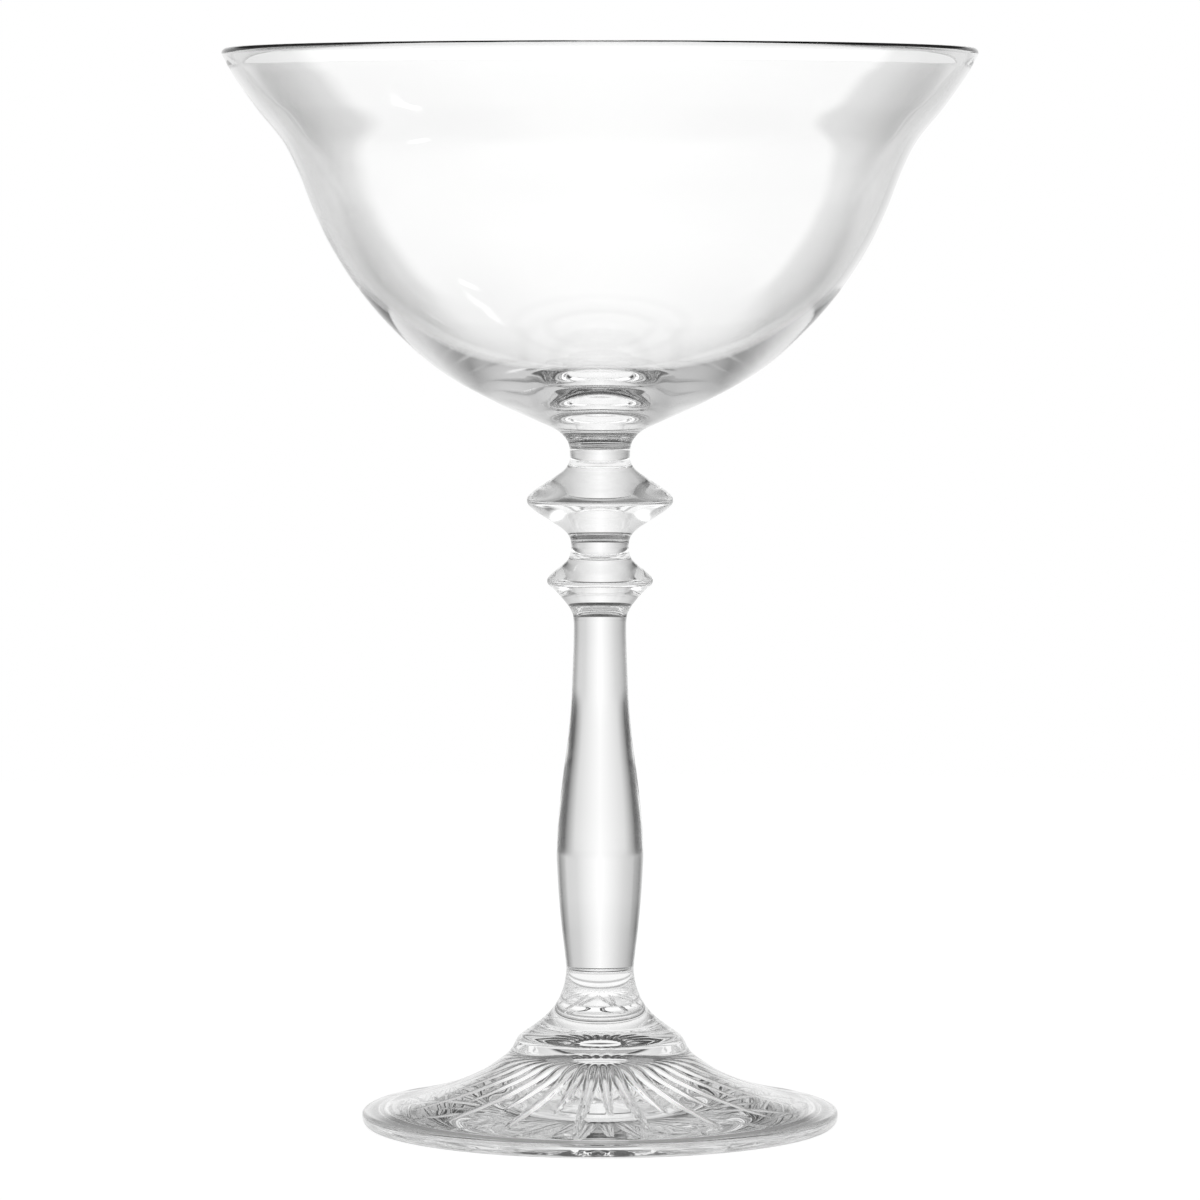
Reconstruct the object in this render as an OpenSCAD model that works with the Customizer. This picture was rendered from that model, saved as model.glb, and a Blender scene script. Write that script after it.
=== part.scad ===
// Clear coupe glass: a blown bowl with a flared rim, fused onto a pressed stem with two
// knops and a swelling leg, fused onto a pressed foot with rays under it.
// The glass stands on the plane z = 0, and its axis is the Z axis.

/* [Bowl] */
// Diameter of the bowl over its flared rim
rim_d = 110; // [96:1:124]
// Height of the bowl from the stem joint to the rim
bowl_h = 58.2; // [50:0.2:68]
// Thickness of the fire-polished rim
rim_bead = 1.4; // [1:0.1:1.8]
// Wall of the bowl at its side
bowl_wall = 1.1; // [0.8:0.05:1.6]
// Extra wall low down, where the side turns into the floor
bowl_heel = 0.5; // [0.2:0.1:1.5]
// Thickness of the glass under the middle of the bowl, above the joint
bowl_floor = 7.4; // [6.4:0.1:8.4]

/* [Stem] */
// Length of the stem between its two joints
stem_h = 76.4; // [64:0.2:95]
// Diameter at the joint with the bowl
stem_top_d = 8.9; // [7.6:0.1:10.4]
// Diameter of the upper knop over its edge
upper_knop_d = 21.4; // [16:0.1:26]
// Distance from the bowl joint down to the edge of the upper knop
upper_knop_drop = 7.6; // [6.6:0.1:9]
// Height of the upper knop from neck to neck
upper_knop_h = 11.6; // [9:0.1:12.4]
// Diameter of the neck between the knops
neck_d = 8.6; // [7:0.1:10]
// Diameter of the lower knop over its edge
lower_knop_d = 15.5; // [12.5:0.1:19]
// Distance between the edges of the two knops
knop_gap = 11.8; // [10.6:0.1:14]
// Height of the upper flank of the lower knop
lower_knop_top_h = 4.3; // [3.4:0.1:5]
// Height of the lower flank of the lower knop
lower_knop_foot_h = 5.6; // [4.4:0.1:6.6]
// Diameter of the thinnest part of the leg
leg_waist_d = 7.75; // [6.4:0.05:9]
// Distance from the edge of the lower knop down to the thinnest part of the leg
leg_waist_drop = 9; // [8:0.1:12]
// Diameter of the leg where it swells
leg_swell_d = 12.75; // [10:0.05:16]
// Height of the swell above the joint with the foot
leg_swell_up = 17.3; // [13:0.1:22]
// Diameter at the joint with the foot
stem_foot_d = 9.85; // [8:0.05:12]

/* [Foot] */
// Diameter of the foot
foot_d = 70; // [60:1:84]
// Height of the foot from the table to the stem joint
foot_h = 22.9; // [20:0.1:27]
// Diameter of the collar over its lip
collar_d = 24.9; // [21:0.1:29]
// Height of the collar's lip above the table
collar_z = 12.1; // [11:0.1:14]
// Height of the lip down to the fillet below it
lip_h = 1.6; // [1.1:0.1:2.2]
// Reach of the fillet under the lip
lip_reach = 0.95; // [0.5:0.05:1.6]
// Height of the foot at its rounded edge
edge_h = 2.2; // [1.8:0.1:3]
// Height of the widest line of the edge
edge_wide_z = 1.45; // [1:0.05:1.6]
// Rounding of the edge above its widest line
edge_top_r = 0.75; // [0.5:0.05:1.2]
// Rounding of the edge below its widest line
edge_foot_r = 1; // [0.6:0.05:1.6]
// Width of the flat ring that the foot stands on
seat_w = 1.8; // [1:0.1:3]
// Step up from the ring into the hollow under the foot
hollow_step = 0.4; // [0.2:0.05:0.8]
// Width of that step
hollow_step_w = 1.6; // [1:0.1:3]
// Radius at which the hollow starts to climb under the collar
crown_r = 17; // [15:0.1:18]
// Rise of the hollow out there
crown_foot_h = 2.2; // [1.6:0.1:2.8]
// Radius of the crown of the hollow
crown_top_r = 4; // [2:0.1:5]
// Rise of the hollow at the edge of its crown
crown_edge_h = 6.9; // [5:0.1:7.4]
// Rise of the hollow at the axis
crown_h = 7.4; // [5.4:0.1:8]

/* [Rays under the foot] */
// Number of long rays, with as many short ones between them
ray_count = 16; // [10:1:18]
// Distance from the points of the long rays out to the edge of the hollow
ray_long_clear = 2.6; // [1:0.1:4]
// Radius at which the short rays run out
ray_short_r = 20.4; // [20:0.1:22]
// Radius at which all rays begin
ray_start_r = 6.5; // [6:0.1:9]
// Width of a ray where it begins
ray_start_w = 1; // [0.6:0.05:1.1]
// Width of a ray at its widest, where the climb starts
ray_w = 1.7; // [1:0.05:2]
// Width across the blunt point of a ray
ray_tip_w = 0.1; // [0.06:0.02:0.4]
// Depth of a ray's centre line below the surface of the hollow
ray_sink = 0.05; // [0.03:0.01:0.1]
// Turn of the short rays from the front
ray_turn = 4; // [0:0.5:20]

/* [Hidden] */
$fn = 96;
clear_glass = [0.86, 0.91, 0.92];
curve_steps = 4;

rim_r = rim_d / 2;
stem_top_r = stem_top_d / 2;
neck_r = neck_d / 2;
leg_waist_r = leg_waist_d / 2;
leg_swell_r = leg_swell_d / 2;
stem_foot_r = stem_foot_d / 2;
foot_r = foot_d / 2;
lip_r = collar_d / 2;
stem_joint_z = foot_h;
bowl_joint_z = foot_h + stem_h;
rim_z = bowl_joint_z + bowl_h;

// Smooth curve through a list of points, as a Catmull-Rom spline.
function bend(a, b, c, d, t) =
    0.5 * (2 * b + (c - a) * t + (2 * a - 5 * b + 4 * c - d) * t * t
    + (3 * b - a - 3 * c + d) * t * t * t);
function smooth(pts) = let (last = len(pts) - 1) [
    for (i = [0 : last - 1])
        for (s = [0 : curve_steps - 1])
            bend(pts[max(i - 1, 0)], pts[i], pts[i + 1], pts[min(i + 2, last)], s / curve_steps),
    pts[last]
];

// Places between two points, one for each share: [share of the radius, share of the height].
function between(a, b, shares) = [
    for (s = shares) [a[0] + (b[0] - a[0]) * s[0], a[1] + (b[1] - a[1]) * s[1]]
];
function backwards(pts) = [for (i = [len(pts) - 1 : -1 : 0]) pts[i]];
function part_of(pts, from, to) = [for (i = [from : to]) pts[i]];
function after_start(pts) = part_of(pts, 1, len(pts) - 1);

// Arc of an ellipse about a centre, from one angle to another.
function arc(centre, rx, rz, from, to, steps) = [
    for (i = [0 : steps])
        let (a = from + (to - from) * i / steps) centre + [rx * cos(a), rz * sin(a)]
];

// Outer side of the bowl, from its fillet on the stem to the flare under the rim.
bowl_side_shares = [
    [0, 0], [0.007, 0.02], [0.035, 0.045], [0.096, 0.07], [0.222, 0.12], [0.375, 0.196],
    [0.505, 0.296], [0.604, 0.395], [0.681, 0.497], [0.737, 0.596], [0.782, 0.696],
    [0.826, 0.771], [0.895, 0.845], [0.958, 0.921], [0.982, 0.955]
];
bowl_side = smooth(between([stem_top_r, bowl_joint_z], [rim_r, rim_z], bowl_side_shares));

// Inner side: the outer one moved in by the wall, which thickens towards the floor.
heel_top_share = 0.42;
inner_from = 6 * curve_steps;
function wall_at(z) =
    let (low = max(0, 1 - (z - bowl_joint_z) / (bowl_h * heel_top_share)))
    bowl_wall + bowl_heel * low * low;
function moved_in(pts, i) =
    let (run = pts[min(i + 1, len(pts) - 1)] - pts[i - 1], along = run / norm(run))
    pts[i] + wall_at(pts[i][1]) * [-along[1], along[0]];
bowl_inside = [for (i = [inner_from : len(bowl_side) - 1]) moved_in(bowl_side, i)];

// Floor inside the bowl, level at the axis and running on into the inner side.
halfway_share = [0.4, 0.2];
floor_middle = [0, bowl_joint_z + bowl_floor];
floor_edge = bowl_inside[0];
halfway = between(floor_middle, floor_edge, [halfway_share])[0];
bowl_bottom = part_of(
    smooth([[-halfway[0], halfway[1]], floor_middle, halfway, floor_edge, bowl_inside[curve_steps]]),
    curve_steps, 3 * curve_steps - 1
);

module bowl() {
    bead = rim_bead / 2;
    bead_from = -31;
    bead_to = 150;
    bead_steps = 12;
    outline = concat(
        [[0, bowl_joint_z]],
        bowl_side,
        arc([rim_r - bead, rim_z - bead], bead, bead, bead_from, bead_to, bead_steps),
        backwards(bowl_inside),
        backwards(bowl_bottom)
    );
    color(clear_glass) rotate_extrude() polygon(outline);
}

// Flanks of the knops, from the neck out to the edge.
upper_flank_shares = [[0, 0], [0.14, 0.24], [0.48, 0.5], [0.82, 0.74], [0.965, 0.89], [1, 1]];
lower_top_shares = [[0, 0], [0.16, 0.32], [0.68, 0.66], [0.95, 0.88], [1, 1]];
lower_foot_shares = [[0, 0], [0.1, 0.24], [0.34, 0.48], [0.68, 0.74], [0.95, 0.91], [1, 1]];
// The leg, from its waist to its swell and from there to the joint with the foot.
leg_above_shares = [[0, 0], [0.07, 0.16], [0.15, 0.3], [0.35, 0.47], [0.66, 0.66], [0.91, 0.85]];
leg_below_shares = [
    [0, 0], [0.07, 0.17], [0.2, 0.35], [0.34, 0.49], [0.56, 0.68], [0.81, 0.85], [1, 1]
];

module stem() {
    upper_z = bowl_joint_z - upper_knop_drop;
    upper_half = upper_knop_h / 2;
    upper_edge = [upper_knop_d / 2, upper_z];
    lower_z = upper_z - knop_gap;
    lower_edge = [lower_knop_d / 2, lower_z];
    below_knop = [leg_waist_r, lower_z - lower_knop_foot_h];
    waist = [leg_waist_r, lower_z - leg_waist_drop];
    swell = [leg_swell_r, stem_joint_z + leg_swell_up];
    joint = [stem_foot_r, stem_joint_z];
    side = smooth(concat(
        [[stem_top_r, bowl_joint_z]],
        between([stem_top_r, upper_z + upper_half], upper_edge, upper_flank_shares),
        after_start(backwards(between([neck_r, upper_z - upper_half], upper_edge, upper_flank_shares))),
        between([neck_r, lower_z + lower_knop_top_h], lower_edge, lower_top_shares),
        after_start(backwards(between(below_knop, lower_edge, lower_foot_shares))),
        between(waist, swell, leg_above_shares),
        between(swell, joint, leg_below_shares)
    ));
    color(clear_glass) rotate_extrude()
        polygon(concat([[0, bowl_joint_z]], side, [[0, stem_joint_z]]));
}

// Collar, from the stem joint out to its lip.
collar_shares = [
    [0, 0], [0.03, 0.17], [0.088, 0.31], [0.178, 0.45], [0.325, 0.59], [0.53, 0.72],
    [0.8, 0.855], [0.94, 0.93], [1, 1]
];
// Top of the foot, from the fillet under the lip to the rounded edge.
plate_shares = [
    [0, 0], [0.085, 0.17], [0.205, 0.37], [0.37, 0.565], [0.56, 0.73], [0.75, 0.86], [0.895, 0.945]
];

hollow_r = foot_r - edge_foot_r - seat_w;
dome_r = hollow_r - hollow_step_w;
ray_long_r = dome_r - ray_long_clear;
hollow_edge = [dome_r, hollow_step];
crown_foot = [crown_r, crown_foot_h];
crown_edge = [crown_top_r, crown_edge_h];

// Place on a straight line through two points, at a given radius.
function at_radius(a, b, r) = [r, a[1] + (b[1] - a[1]) * (r - a[0]) / (b[0] - a[0])];

module foot() {
    edge_steps = 6;
    lip = [lip_r, collar_z];
    fillet = [lip_r + lip_reach, collar_z - lip_h];
    edge_top = [foot_r - edge_top_r, edge_h];
    over_middle = [edge_top[0], edge_wide_z];
    under_middle = [foot_r - edge_foot_r, edge_wide_z];
    top = smooth(concat(
        between([stem_foot_r, stem_joint_z], lip, collar_shares),
        between(fillet, edge_top, plate_shares),
        [edge_top]
    ));
    over = arc(over_middle, edge_top_r, edge_h - edge_wide_z, 90, 0, edge_steps);
    under = arc(under_middle, edge_foot_r, edge_wide_z, 0, -90, edge_steps);
    outline = concat(
        [[0, stem_joint_z]],
        top,
        after_start(over),
        after_start(under),
        [[hollow_r, 0], hollow_edge, crown_foot, crown_edge, [0, crown_h]]
    );
    color(clear_glass) difference() {
        rotate_extrude() polygon(outline);
        for (i = [0 : ray_count - 1]) {
            turn = ray_turn - 90 + i * 360 / ray_count;
            ray(turn, ray_short_r);
            ray(turn + 180 / ray_count, ray_long_r);
        }
    }
}

// One pressed ray: it widens outwards down the steep part of the hollow, then narrows to a point.
module ray(turn, end_r) {
    past = 0.5;
    rotate([0, 0, turn]) {
        groove(
            at_radius(crown_edge, crown_foot, ray_start_r),
            at_radius(crown_edge, crown_foot, crown_r + past),
            ray_start_w, ray_w
        );
        groove(
            at_radius(crown_foot, hollow_edge, crown_r - past),
            at_radius(crown_foot, hollow_edge, end_r),
            ray_w, ray_tip_w
        );
    }
}

// A long cone that lies along the surface of the hollow, half of it in the glass.
module groove(from, to, from_w, to_w) {
    run = to - from;
    translate([from[0], 0, from[1] - ray_sink])
        rotate([0, 90 - atan2(run[1], run[0]), 0])
            cylinder(h = norm(run), r1 = from_w / 2, r2 = to_w / 2);
}

bowl();
stem();
foot();
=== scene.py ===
import math

import bpy
import numpy as np
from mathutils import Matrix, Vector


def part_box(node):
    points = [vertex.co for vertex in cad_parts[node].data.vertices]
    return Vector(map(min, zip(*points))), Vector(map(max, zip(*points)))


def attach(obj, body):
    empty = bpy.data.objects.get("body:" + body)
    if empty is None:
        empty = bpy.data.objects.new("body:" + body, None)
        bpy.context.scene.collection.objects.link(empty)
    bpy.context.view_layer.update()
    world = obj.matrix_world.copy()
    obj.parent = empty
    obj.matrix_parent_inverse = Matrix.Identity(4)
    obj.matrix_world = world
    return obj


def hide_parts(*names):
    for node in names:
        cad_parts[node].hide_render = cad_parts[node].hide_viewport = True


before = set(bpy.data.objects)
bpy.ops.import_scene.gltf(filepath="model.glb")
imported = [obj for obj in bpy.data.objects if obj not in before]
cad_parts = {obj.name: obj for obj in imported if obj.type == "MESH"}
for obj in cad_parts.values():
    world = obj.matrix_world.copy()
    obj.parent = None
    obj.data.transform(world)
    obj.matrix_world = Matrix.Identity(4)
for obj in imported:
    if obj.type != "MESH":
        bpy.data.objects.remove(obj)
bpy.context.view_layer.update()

scene = bpy.context.scene
scene.view_settings.view_transform = "Standard"
lightPaths = 40  # light takes long ways between the two faces of the foot
scene.cycles.max_bounces = lightPaths
scene.cycles.transmission_bounces = lightPaths
scene.cycles.glossy_bounces = lightPaths
scene.cycles.transparent_max_bounces = lightPaths
mm = 0.001
tiny = 1e-6
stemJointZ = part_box("stem")[0][2] / mm  # foot and stem are fused here
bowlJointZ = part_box("bowl")[0][2] / mm  # stem and bowl are fused here
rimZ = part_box("bowl")[1][2] / mm
print("frame loaded, joints at", round(stemJointZ, 2), "and", round(bowlJointZ, 2), "mm")


# Shared shape maths, all in mm

spanPlaces = 24  # places on every span of a smooth curve, and on every arc


def smoothCurve(points):
    # Catmull-Rom: each span is the cubic through its two points whose slope at a point is half the
    # step between that point's neighbours.
    p = np.asarray(points, float)
    p = np.vstack([2 * p[0] - p[1], p, 2 * p[-1] - p[-2]])
    t = (np.arange(spanPlaces) / spanPlaces)[None, :, None]
    a, b, c, d = (p[i:len(p) - 3 + i, None, :] for i in range(4))
    q = 0.5 * (2 * b + (c - a) * t + (2 * a - 5 * b + 4 * c - d) * t**2 + (3 * b - a - 3 * c + d) * t**3)
    return np.vstack([q.reshape(-1, 2), p[-2]])


def between(start, end, shares):
    # Place i is start + (end - start) * share i, taken apart for the radius and the height.
    a, b, s = (np.asarray(v, float) for v in (start, end, shares))
    return a + (b - a) * s


def ellipseArc(centre, rx, rz, first, last):
    # centre + (rx cos a, rz sin a) for angles evenly from first to last.
    a = np.radians(np.linspace(first, last, spanPlaces + 1))
    return np.column_stack([centre[0] + rx * np.cos(a), centre[1] + rz * np.sin(a)])


def evenly(curve, step):
    # The same curve with places at even distances along it, about step apart.
    run = np.concatenate([[0], np.cumsum(np.linalg.norm(np.diff(curve, axis=0), axis=1))])
    n = max(2, int(round(run[-1] / step)))
    at = np.linspace(0, run[-1], n + 1)
    return np.column_stack([np.interp(at, run, curve[:, k]) for k in (0, 1)])


def leftOf(curve):
    # Unit normal on the left of the way the curve runs: its direction turned a quarter.
    along = np.gradient(curve, axis=0)
    along /= np.linalg.norm(along, axis=1)[:, None]
    return np.column_stack([-along[:, 1], along[:, 0]])


def joinRuns(*runs):
    # One outline from several, without the place that two neighbours share.
    kept = [runs[0]]
    for run in runs[1:]:
        same = np.linalg.norm(run[0] - kept[-1][-1]) < tiny
        kept.append(run[1:] if same else run)
    return np.vstack(kept)


# Meshes

def ringFaces(lower, upper, around):
    # Quads between ring number lower and ring number upper, both of the same count around.
    j = np.arange(around)
    k = (j + 1) % around
    return np.column_stack([lower * around + j, lower * around + k, upper * around + k, upper * around + j])


def solidOfTurn(name, rings, firstPole, lastPole, capRings, materials):
    # rings is (n, around, 3): ring i is one turn of the outline, and both ends close on a pole.
    # capRings are the bands that belong to a joint's disc.
    n, around, _ = rings.shape
    verts = np.vstack([rings.reshape(-1, 3), [firstPole], [lastPole]]) * mm
    quads = np.vstack([ringFaces(i, i + 1, around) for i in range(n - 1)])
    j = np.arange(around)
    k = (j + 1) % around
    first = np.column_stack([np.full(around, n * around), k, j])
    last = np.column_stack([(n - 1) * around + j, (n - 1) * around + k, np.full(around, n * around + 1)])
    mesh = bpy.data.meshes.new(name)
    mesh.from_pydata(verts.tolist(), [], first.tolist() + quads.tolist() + last.tolist())
    band = np.concatenate([np.full(around, -1), np.repeat(np.arange(n - 1), around), np.full(around, n - 1)])
    cap = np.isin(band, list(capRings))
    mesh.polygons.foreach_set("use_smooth", ~cap)
    mesh.polygons.foreach_set("material_index", cap.astype(np.int32))
    for material in materials:
        mesh.materials.append(material)
    mesh.update()
    obj = bpy.data.objects.new(name, mesh)
    scene.collection.objects.link(obj)
    return obj


def turned(outline, around):
    # (r, z) goes to (r cos a, r sin a, z) for angles a evenly round the axis.
    a = np.arange(around) * 2 * math.pi / around
    r, z = outline[:, :1], outline[:, 1:]
    return np.stack([r * np.cos(a), r * np.sin(a), np.broadcast_to(z, (len(outline), around))], axis=-1)


# Materials

def nodeTree(material):
    material.use_nodes = True
    tree = material.node_tree
    tree.nodes.clear()
    return tree


def setOrLink(tree, socket, value):
    if hasattr(value, "links"):
        tree.links.new(value, socket)
    else:
        socket.default_value = value


def mathNode(tree, operation, *values):
    # A sum of nodes: each value is a number or the output of another node.
    node = tree.nodes.new("ShaderNodeMath")
    node.operation = operation
    for socket, value in zip(node.inputs, values):
        setOrLink(tree, socket, value)
    return node.outputs[0]


def waveGroup():
    # Faint unevenness of fire-polished glass: a normal from soft noise, which is height m high.
    tree = bpy.data.node_groups.new("glassWaver", "ShaderNodeTree")
    for label in ("Scale", "Height"):
        tree.interface.new_socket(label, in_out="INPUT", socket_type="NodeSocketFloat")
    tree.interface.new_socket("Normal", in_out="OUTPUT", socket_type="NodeSocketVector")
    inside = tree.nodes.new("NodeGroupInput")
    outside = tree.nodes.new("NodeGroupOutput")
    coords = tree.nodes.new("ShaderNodeTexCoord")
    noise = tree.nodes.new("ShaderNodeTexNoise")
    noise.inputs["Detail"].default_value = 1.0
    tree.links.new(coords.outputs["Object"], noise.inputs["Vector"])
    tree.links.new(inside.outputs["Scale"], noise.inputs["Scale"])
    raised = mathNode(tree, "MULTIPLY", noise.outputs["Fac"], inside.outputs["Height"])
    bump = tree.nodes.new("ShaderNodeBump")
    bump.inputs["Strength"].default_value = 1.0
    bump.inputs["Distance"].default_value = 1.0
    tree.links.new(raised, bump.inputs["Height"])
    tree.links.new(bump.outputs["Normal"], outside.inputs["Normal"])
    return tree


glassWaver = waveGroup()


def clearGlass(name, g):
    # Clear all through, with the faint waves on its surface.
    material = bpy.data.materials.new(name)
    tree = nodeTree(material)
    out = tree.nodes.new("ShaderNodeOutputMaterial")
    shader = tree.nodes.new("ShaderNodeBsdfPrincipled")
    shader.inputs["Base Color"].default_value = (*g["tint"], 1)
    shader.inputs["Roughness"].default_value = g["roughness"]
    shader.inputs["IOR"].default_value = g["ior"]
    shader.inputs["Transmission Weight"].default_value = 1.0
    waver = tree.nodes.new("ShaderNodeGroup")
    waver.node_tree = glassWaver
    waver.inputs["Scale"].default_value = g["waveScale"]
    waver.inputs["Height"].default_value = g["waveHeight"]
    tree.links.new(waver.outputs["Normal"], shader.inputs["Normal"])
    tree.links.new(shader.outputs["BSDF"], out.inputs["Surface"])
    return material


def fusedJoint():
    # The discs where two pieces are fused: the glass runs on through them, so they don't show.
    material = bpy.data.materials.new("fusedJoint")
    tree = nodeTree(material)
    out = tree.nodes.new("ShaderNodeOutputMaterial")
    unseen = tree.nodes.new("ShaderNodeBsdfTransparent")
    tree.links.new(unseen.outputs["BSDF"], out.inputs["Surface"])
    return material


clear = {"tint": (0.995, 0.996, 0.995), "roughness": 0.0, "ior": 1.52}
blownGlass = clearGlass("blownGlass", {**clear, "waveScale": 28.0, "waveHeight": 0.00012})
pressedGlass = clearGlass("pressedGlass", {**clear, "waveScale": 60.0, "waveHeight": 0.00004})
joint = fusedJoint()
print("materials ready")


# Bowl

bowl = {
    "stemRadius": 4.45, "rimRadius": 55.0, "bead": 1.4,
    "wall": 1.1, "heel": 3.5, "heelTop": 0.42, "floor": 6.4,
    "side": [
        [0, 0], [0.007, 0.02], [0.035, 0.045], [0.096, 0.07], [0.222, 0.12], [0.375, 0.196],
        [0.505, 0.296], [0.604, 0.395], [0.681, 0.497], [0.737, 0.596], [0.782, 0.696],
        [0.826, 0.771], [0.895, 0.845], [0.958, 0.921], [0.982, 0.955],
    ],
    "innerFrom": 4, "halfway": [0.5, 0.2], "beadFrom": -31, "beadTo": 150,
    "step": 0.55, "rimStep": 0.12, "around": 288,
}


def buildBowl(b):
    # Outer side, rolled rim, inner side at the wall's distance, then the floor in to the axis. The wall
    # gets thicker from heelTop of the bowl's height down.
    side = smoothCurve(between([b["stemRadius"], bowlJointZ], [b["rimRadius"], rimZ], b["side"]))
    low = np.clip(1 - (side[:, 1] - bowlJointZ) / ((rimZ - bowlJointZ) * b["heelTop"]), 0, None)
    wall = b["wall"] + b["heel"] * low**2
    inner = (side + wall[:, None] * leftOf(side))[b["innerFrom"] * spanPlaces:]
    bead = b["bead"] / 2
    rim = ellipseArc([b["rimRadius"] - bead, rimZ - bead], bead, bead, b["beadFrom"], b["beadTo"])
    middle = np.array([0, bowlJointZ + b["floor"]])
    edge = inner[0]
    halfway = between(middle, edge, b["halfway"])
    # The place mirrored over the axis and the one up the wall only give the floor's ends their slope.
    floorCurve = smoothCurve([[-halfway[0], halfway[1]], middle, halfway, edge, inner[spanPlaces]])
    floorCurve = floorCurve[spanPlaces:3 * spanPlaces + 1]
    outline = joinRuns(
        evenly(side, b["step"]), evenly(rim, b["rimStep"]), evenly(inner, b["step"])[::-1],
        evenly(floorCurve, b["step"])[::-1],
    )
    rings = turned(outline[:-1], b["around"])
    return solidOfTurn("bowlGlass", rings, [0, 0, bowlJointZ], [0, 0, middle[1]], [-1], [blownGlass, joint])


bowlGlass = buildBowl(bowl)
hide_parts("bowl")
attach(bowlGlass, "root")
print("bowl made,", len(bowlGlass.data.polygons), "faces")


# Stem

stem = {
    "topRadius": 4.45, "upperRadius": 10.7, "upperDrop": 7.6, "upperHalf": 5.8, "neckRadius": 4.3,
    "lowerRadius": 7.75, "knopGap": 11.8, "lowerTop": 4.3, "lowerFoot": 5.6,
    "waistRadius": 3.875, "waistDrop": 9.0, "swellRadius": 6.375, "swellUp": 17.3, "footRadius": 4.925,
    "upperFlank": [[0, 0], [0.14, 0.24], [0.48, 0.5], [0.82, 0.74], [0.965, 0.89], [1, 1]],
    "lowerTopFlank": [[0, 0], [0.16, 0.32], [0.68, 0.66], [0.95, 0.88], [1, 1]],
    "lowerFootFlank": [[0, 0], [0.1, 0.24], [0.34, 0.48], [0.68, 0.74], [0.95, 0.91], [1, 1]],
    "legAbove": [[0, 0], [0.07, 0.16], [0.15, 0.3], [0.35, 0.47], [0.66, 0.66], [0.91, 0.85]],
    "legBelow": [[0, 0], [0.07, 0.17], [0.2, 0.35], [0.34, 0.49], [0.56, 0.68], [0.81, 0.85], [1, 1]],
    "step": 0.35, "around": 192,
}


def buildStem(s):
    # Side from the bowl's joint over both knops and down the leg, turned round the axis.
    upperZ = bowlJointZ - s["upperDrop"]
    upperEdge = [s["upperRadius"], upperZ]
    lowerZ = upperZ - s["knopGap"]
    lowerEdge = [s["lowerRadius"], lowerZ]
    swell = [s["swellRadius"], stemJointZ + s["swellUp"]]
    side = smoothCurve(np.vstack([
        [[s["topRadius"], bowlJointZ]],
        between([s["topRadius"], upperZ + s["upperHalf"]], upperEdge, s["upperFlank"]),
        between([s["neckRadius"], upperZ - s["upperHalf"]], upperEdge, s["upperFlank"])[::-1][1:],
        between([s["neckRadius"], lowerZ + s["lowerTop"]], lowerEdge, s["lowerTopFlank"]),
        between([s["waistRadius"], lowerZ - s["lowerFoot"]], lowerEdge, s["lowerFootFlank"])[::-1][1:],
        between([s["waistRadius"], lowerZ - s["waistDrop"]], swell, s["legAbove"]),
        between(swell, [s["footRadius"], stemJointZ], s["legBelow"]),
    ]))
    outline = evenly(side[::-1], s["step"])
    rings = turned(outline, s["around"])
    poles = [0, 0, stemJointZ], [0, 0, bowlJointZ]
    return solidOfTurn("stemGlass", rings, *poles, [-1, len(outline) - 1], [pressedGlass, joint])


stemGlass = buildStem(stem)
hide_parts("stem")
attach(stemGlass, "root")
print("stem made,", len(stemGlass.data.polygons), "faces")


# Foot

foot = {
    "jointRadius": 4.925, "radius": 35.0,
    "lipRadius": 12.45, "lipZ": 12.1, "lipHeight": 1.6, "lipReach": 0.95,
    "edgeHeight": 2.2, "edgeWideZ": 1.45, "edgeTop": 0.75, "edgeFoot": 1.0, "seat": 1.8,
    "hollowStep": 0.4, "hollowStepWidth": 1.6,
    "hollow": [[0, 7.4], [4, 7.0], [8, 5.6], [12, 3.8], [16, 2.5], [20, 1.7], [25, 1.0]],
    "collar": [
        [0, 0], [0.03, 0.17], [0.088, 0.31], [0.178, 0.45], [0.325, 0.59], [0.53, 0.72],
        [0.8, 0.855], [0.94, 0.93], [1, 1],
    ],
    "plate": [
        [0, 0], [0.085, 0.17], [0.205, 0.37], [0.37, 0.565], [0.56, 0.73], [0.75, 0.86], [0.895, 0.945],
    ],
    "rays": 16, "longEnd": 28.0, "shortEnd": 20.4, "rayStart": 3.0, "rayFull": 6.0,
    "rayHalfWidth": 0.95, "rayDepth": 0.9, "rayTaper": 0.6, "rayTurn": 4.0,
    "step": 0.42, "edgeStep": 0.2, "around": 512,
}


def rayDepths(radius, angle, f):
    # Depth of the pressed rays: across a ray a half ellipse, along it a leaf that opens over a short
    # way at its start and closes to a point at its end.
    pitch = 360 / f["rays"]
    depth = np.zeros(np.broadcast(radius, angle).shape)
    for first, end in ((f["rayTurn"], f["shortEnd"]), (f["rayTurn"] + pitch / 2, f["longEnd"])):
        off = np.radians((angle - first + 90 + pitch / 2) % pitch - pitch / 2)
        along = np.clip((radius - f["rayStart"]) / (end - f["rayStart"]), 0, 1)
        opening = np.clip((radius - f["rayStart"]) / (f["rayFull"] - f["rayStart"]), 0, 1)
        width = f["rayHalfWidth"] * np.sqrt(opening) * (1 - along)**f["rayTaper"] + tiny
        across = np.clip(radius * np.sin(off) / width, -1, 1)
        depth = np.maximum(depth, f["rayDepth"] * width / f["rayHalfWidth"] * np.sqrt(1 - across**2))
    return depth


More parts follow.
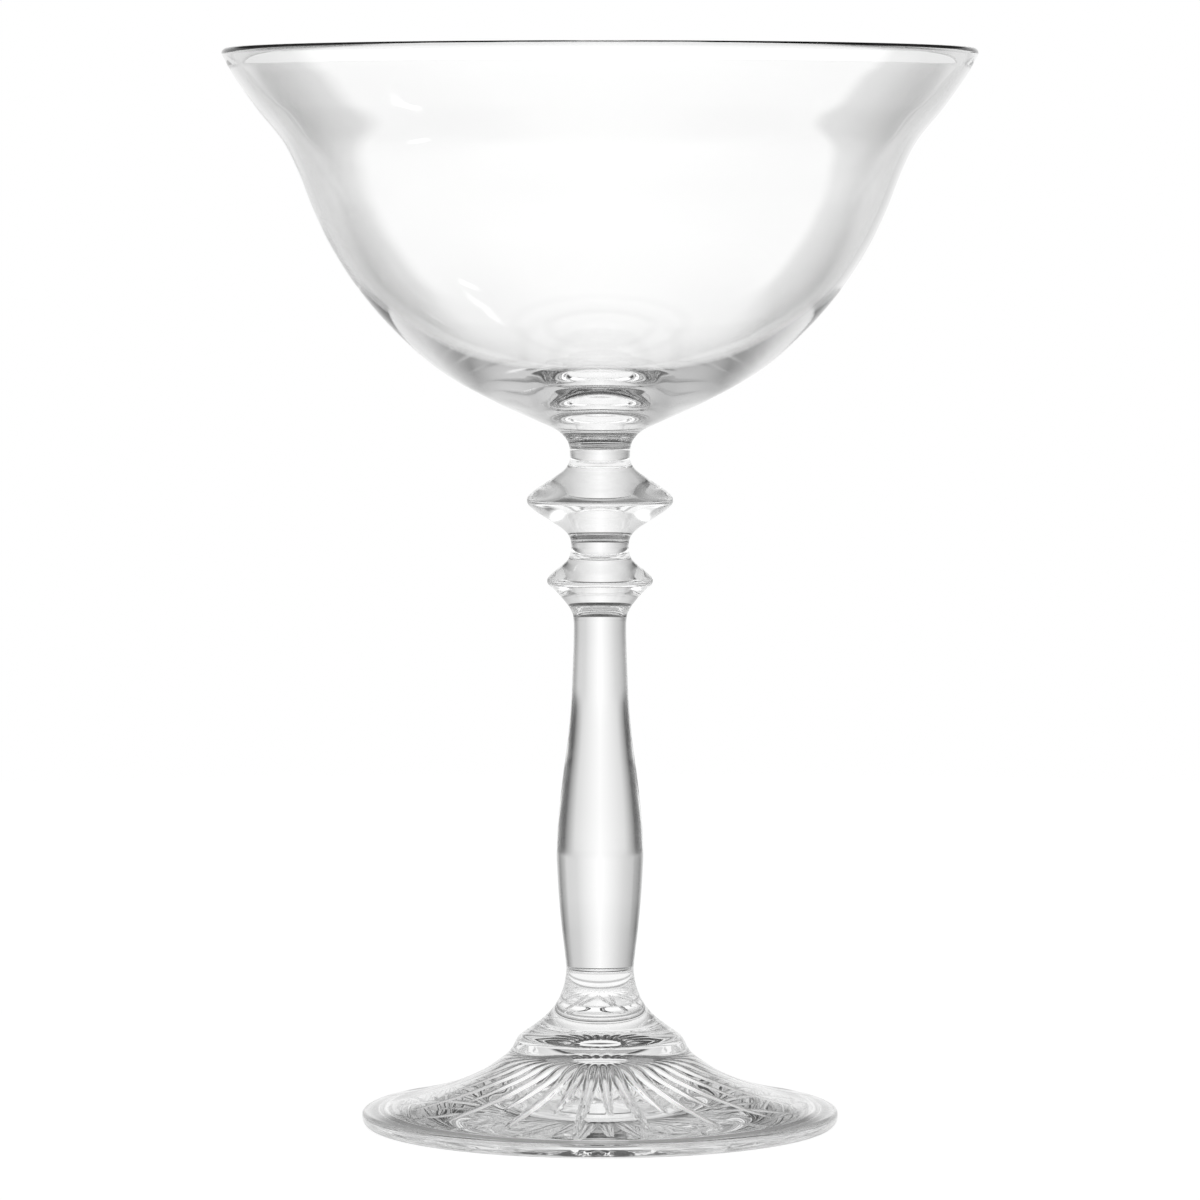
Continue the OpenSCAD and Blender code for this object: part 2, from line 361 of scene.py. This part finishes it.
def buildFoot(f):
    # Hollow underside with its rays, resting ring, rounded edge, flared plate, lip and collar.
    hollowR = f["radius"] - f["edgeFoot"] - f["seat"]
    domeR = hollowR - f["hollowStepWidth"]
    # The points mirrored over the axis and beyond the seat only give the ends their slope.
    hollowEdge, seatEdge = [domeR, f["hollowStep"]], [hollowR, 0]
    innermost = [-f["hollow"][1][0], f["hollow"][1][1]]
    dome = smoothCurve([innermost, *f["hollow"], hollowEdge, seatEdge])[spanPlaces:-spanPlaces]
    step = smoothCurve([f["hollow"][-1], hollowEdge, seatEdge, [f["radius"], 0]])
    step = step[spanPlaces:2 * spanPlaces + 1]
    wide = f["edgeWideZ"]
    under = ellipseArc([f["radius"] - f["edgeFoot"], wide], f["edgeFoot"], wide, -90, 0)
    over = ellipseArc([f["radius"] - f["edgeTop"], wide], f["edgeTop"], f["edgeHeight"] - wide, 0, 90)
    lip = [f["lipRadius"], f["lipZ"]]
    fillet = [f["lipRadius"] + f["lipReach"], f["lipZ"] - f["lipHeight"]]
    edgeTop = [f["radius"] - f["edgeTop"], f["edgeHeight"]]
    top = smoothCurve(np.vstack([
        between([f["jointRadius"], stemJointZ], lip, f["collar"]),
        between(fillet, edgeTop, f["plate"]),
        [edgeTop],
    ]))[::-1]
    hollow = evenly(dome, f["step"])[1:]
    edges = [evenly(run, f["edgeStep"]) for run in (step, under, over)]
    outline = joinRuns(hollow, *edges, evenly(top, f["step"]))
    rings = turned(outline, f["around"])
    angle = (np.arange(f["around"]) * 360 / f["around"])[None, :]
    rings[:len(hollow), :, 2] += rayDepths(hollow[:, :1], angle, f)
    poles = [0, 0, f["hollow"][0][1]], [0, 0, stemJointZ]
    return solidOfTurn("footGlass", rings, *poles, [len(outline) - 1], [pressedGlass, joint])


footGlass = buildFoot(foot)
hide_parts("foot")
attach(footGlass, "root")
print("foot made,", len(footGlass.data.polygons), "faces")


# Floor, light and camera

studio = {
    "floorRadius": 0.55, "floorAround": 96, "floorBands": 24,
    "farFrom": 0.08, "farTo": 0.16, "edgeFrom": 0.25, "edgeTo": 0.5,
    "toEye": 1.02, "shadow": 0.1, "shadowColour": 4.0, "mattColour": 0.8,
    # Painted light and shade under the glass, in mm from the axis, seen only by glass: a painted bright pool
    # in the middle, and a painted shadow of the foot in dark belts under its resting ring and just outside
    # its edge.
    "paintedFloorBelts": [
        (0, 1.1), (10, 1.1), (13, 0.75), (26, 0.85), (29, 0.35), (33, 0.35), (36, 1.0), (48, 1.0),
        (51, 0.5), (56, 0.5), (60, 0.95), (80, 0.95),
    ],
    # Painted light and shade on the floor further out, by the compass, for glass to see: bright sectors in
    # front, behind and at the sides, dark sectors between them.
    "paintedFloorRing": [
        (-180, 1.3), (-80, 1.3), (-70, 0.05), (-45, 0.05), (-25, 0.7), (0, 1.0), (25, 0.7), (45, 0.05),
        (76, 0.03), (82, 1.3), (180, 1.3),
    ],
    "softBoxes": [
        {"turn": 72, "rise": 53, "width": 8, "height": 8, "edge": 3, "level": 3.0},
    ],
    "lowTo": 12, "middleAt": 18, "topFrom": 60,
    "lowRing": [
        (-180, 0.9), (-130, 0.85), (-90, 0.75), (-60, 0.25), (-40, 0.48), (-24, 0.66), (-12, 0.86), (0, 1.05),
        (12, 0.86), (24, 0.66), (40, 0.6), (60, 0.25), (90, 0.75), (130, 0.85), (180, 0.9),
    ],
    "middleRing": [
        (-180, 0.02), (-120, 0.02), (-90, 0.3), (-60, 0.6), (-40, 0.1), (0, 0.05), (40, 0.1), (60, 0.6),
        (90, 0.6), (120, 0.3), (150, 0.02), (180, 0.02),
    ],
    "topRing": [
        (-180, 0.5), (-120, 0.5), (-90, 0.33), (-45, 0.18), (0, 0.05), (45, 0.05), (90, 0.2), (120, 0.5),
        (180, 0.5),
    ],
}


def smoothStep(tree, value, start, end, low=0.0, high=1.0):
    # low up to start, high from end on, and a smooth way between them.
    node = tree.nodes.new("ShaderNodeMapRange")
    node.interpolation_type = "SMOOTHSTEP"
    tree.links.new(value, node.inputs["Value"])
    for label, number in (("From Min", start), ("From Max", end), ("To Min", low), ("To Max", high)):
        node.inputs[label].default_value = number
    return node.outputs["Result"]


def seenBy(tree, *kinds):
    # 1 for a ray of any of these kinds, 0 for the rest.
    path = tree.nodes.new("ShaderNodeLightPath")
    total = path.outputs[kinds[0]]
    for kind in kinds[1:]:
        total = mathNode(tree, "MAXIMUM", total, path.outputs[kind])
    return total


def toneRamp(tree, share, stops, first, last):
    # Brightness along a run from first to last, of which share is the part that has gone by.
    ramp = tree.nodes.new("ShaderNodeValToRGB")
    tree.links.new(share, ramp.inputs[0])
    steps = ramp.color_ramp.elements
    while len(steps) > 1:
        steps.remove(steps[-1])
    for i, (at, value) in enumerate(stops):
        place = (at - first) / (last - first)
        element = steps[0] if i == 0 else steps.new(place)
        element.position = place
        element.color = (value, value, value, 1)
    return ramp.outputs[0]


def ringRamp(tree, turn, stops):
    # Brightness by the compass: 0 degrees is behind the glass, plus is its right side.
    return toneRamp(tree, turn, stops, -180, 180)


def compass(tree, direction):
    # The share of a full turn of a direction, 0.5 behind the glass, and its height as a sine.
    split = tree.nodes.new("ShaderNodeSeparateXYZ")
    tree.links.new(direction, split.inputs[0])
    turn = mathNode(tree, "ARCTAN2", split.outputs["X"], split.outputs["Y"])
    return mathNode(tree, "MULTIPLY_ADD", turn, 0.5 / math.pi, 0.5), split.outputs["Z"]


def mixed(tree, share, first, second):
    # first where share is 0, second where it is 1.
    node = tree.nodes.new("ShaderNodeMix")
    node.data_type = "FLOAT"
    for socket, value in zip((node.inputs[0], node.inputs[2], node.inputs[3]), (share, first, second)):
        setOrLink(tree, socket, value)
    return node.outputs[0]


def softBox(tree, turn, height, p):
    # A lamp with soft edges: level inside its width and height in degrees, 0 outside.
    across = mathNode(tree, "ABSOLUTE", mathNode(tree, "SUBTRACT", turn, p["turn"] / 360 + 0.5))
    along = mathNode(tree, "ABSOLUTE", mathNode(tree, "SUBTRACT", height, p["rise"]))
    wide, high, edge = p["width"] / 2, p["height"] / 2, p["edge"]
    inWidth = smoothStep(tree, across, (wide - edge) / 360, wide / 360, 1.0, 0.0)
    inHeight = smoothStep(tree, along, high - edge, high, 1.0, 0.0)
    return mathNode(tree, "MULTIPLY", mathNode(tree, "MULTIPLY", inWidth, inHeight), p["level"])


def lightWorld(s):
    # White to the eye. Glass sees three rings of light that run into each other with height: the low
    # one is bright behind and in front and weakest 60 degrees to each side, the middle one has a panel
    # on each side, and the top one is dim, most of all behind. The soft boxes come on top of them.
    world = bpy.data.worlds.new("studioWorld")
    scene.world = world
    world.use_nodes = True
    tree = world.node_tree
    tree.nodes.clear()
    out = tree.nodes.new("ShaderNodeOutputWorld")
    coords = tree.nodes.new("ShaderNodeTexCoord")
    turn, rise = compass(tree, coords.outputs["Generated"])
    height = mathNode(tree, "MULTIPLY", mathNode(tree, "ARCSINE", rise), 180 / math.pi)
    low, middle, top = (ringRamp(tree, turn, s[name]) for name in ("lowRing", "middleRing", "topRing"))
    level = mixed(tree, smoothStep(tree, height, s["lowTo"], s["middleAt"]), low, middle)
    level = mixed(tree, smoothStep(tree, height, s["middleAt"], s["topFrom"]), level, top)
    for panel in s["softBoxes"]:
        level = mathNode(tree, "ADD", level, softBox(tree, turn, height, panel))
    shade = tree.nodes.new("ShaderNodeBackground")
    tree.links.new(level, shade.inputs["Color"])
    white = tree.nodes.new("ShaderNodeBackground")
    white.inputs["Color"].default_value = (1, 1, 1, 1)
    pick = tree.nodes.new("ShaderNodeMixShader")
    tree.links.new(seenBy(tree, "Is Camera Ray"), pick.inputs[0])
    tree.links.new(shade.outputs[0], pick.inputs[1])
    tree.links.new(white.outputs[0], pick.inputs[2])
    tree.links.new(pick.outputs[0], out.inputs["Surface"])


def paleFloor(s):
    # A round floor: white to the eye, with painted light and shade for what glass sees, and a soft shadow.
    around, n = s["floorAround"], s["floorBands"]
    radius = np.linspace(0, s["floorRadius"], n + 1)[1:, None]
    a = np.arange(around)[None, :] * 2 * math.pi / around
    rings = np.stack([radius * np.cos(a), radius * np.sin(a), np.zeros((n, around))], axis=-1)
    verts = np.vstack([rings.reshape(-1, 3), [[0, 0, 0]]])
    j = np.arange(around)
    k = (j + 1) % around
    fan = np.column_stack([np.full(around, n * around), j, k])
    quads = np.vstack([ringFaces(i, i + 1, around)[:, ::-1] for i in range(n - 1)])
    mesh = bpy.data.meshes.new("floor")
    mesh.from_pydata(verts.tolist(), [], fan.tolist() + quads.tolist())
    floor = bpy.data.objects.new("floor", mesh)
    scene.collection.objects.link(floor)
    mesh.materials.append(floorMaterial(s))


def floorMaterial(s):
    # To the eye the floor glows white, and to glass it glows with painted light and shade; near the glass a
    # small share of its light is that of a matt surface, which takes the shadow. To other rays it is plain
    # and matt.
    material = bpy.data.materials.new("paleFloor")
    tree = nodeTree(material)
    out = tree.nodes.new("ShaderNodeOutputMaterial")
    coords = tree.nodes.new("ShaderNodeTexCoord")
    place = coords.outputs["Object"]
    turn, _ = compass(tree, place)
    length = tree.nodes.new("ShaderNodeVectorMath")
    length.operation = "LENGTH"
    tree.links.new(place, length.inputs[0])
    away = length.outputs["Value"]
    reach = s["paintedFloorBelts"][-1][0]
    # Painted light and shade near the glass: a painted bright pool in the middle and dark belts that are a
    # painted shadow of the foot's ring and edge.
    tone = toneRamp(tree, mathNode(tree, "DIVIDE", away, reach * mm), s["paintedFloorBelts"], 0, reach)
    far = smoothStep(tree, away, s["farFrom"], s["farTo"])
    # Further out glass sees painted bright and dark sectors by the compass, and from edgeFrom on the world's
    # low ring of light, painted on the floor.
    tone = mixed(tree, far, tone, ringRamp(tree, turn, s["paintedFloorRing"]))
    edge = smoothStep(tree, away, s["edgeFrom"], s["edgeTo"])
    tone = mixed(tree, edge, tone, ringRamp(tree, turn, s["lowRing"]))
    tone = mixed(tree, seenBy(tree, "Is Camera Ray"), tone, s["toEye"])
    through = seenBy(tree, "Is Camera Ray", "Is Glossy Ray", "Is Transmission Ray")
    lit = mixed(tree, far, s["shadow"], 0.0)
    glow = tree.nodes.new("ShaderNodeEmission")
    strength = mathNode(tree, "MULTIPLY", tone, mathNode(tree, "SUBTRACT", 1.0, lit))
    tree.links.new(strength, glow.inputs["Strength"])
    matt = tree.nodes.new("ShaderNodeBsdfDiffuse")
    colour = mixed(tree, through, s["mattColour"], mathNode(tree, "MULTIPLY", lit, s["shadowColour"]))
    tree.links.new(colour, matt.inputs["Color"])
    both = tree.nodes.new("ShaderNodeAddShader")
    tree.links.new(glow.outputs[0], both.inputs[0])
    tree.links.new(matt.outputs[0], both.inputs[1])
    pick = tree.nodes.new("ShaderNodeMixShader")
    tree.links.new(through, pick.inputs[0])
    tree.links.new(matt.outputs[0], pick.inputs[1])
    tree.links.new(both.outputs[0], pick.inputs[2])
    tree.links.new(pick.outputs[0], out.inputs["Surface"])
    return material


lightWorld(studio)
paleFloor(studio)

view = {"distance": 0.9246, "height": 0.1377, "down": 3.75, "lens": 189.96, "sensor": 36.0, "clipEnd": 20.0}
camera = bpy.data.objects.new("camera", bpy.data.cameras.new("camera"))
scene.collection.objects.link(camera)
camera.location = (0, -view["distance"], view["height"])
camera.rotation_euler = (math.radians(90 - view["down"]), 0, 0)
camera.data.lens = view["lens"]
camera.data.sensor_width = view["sensor"]
camera.data.clip_end = view["clipEnd"]
scene.camera = camera
print("studio and camera ready")
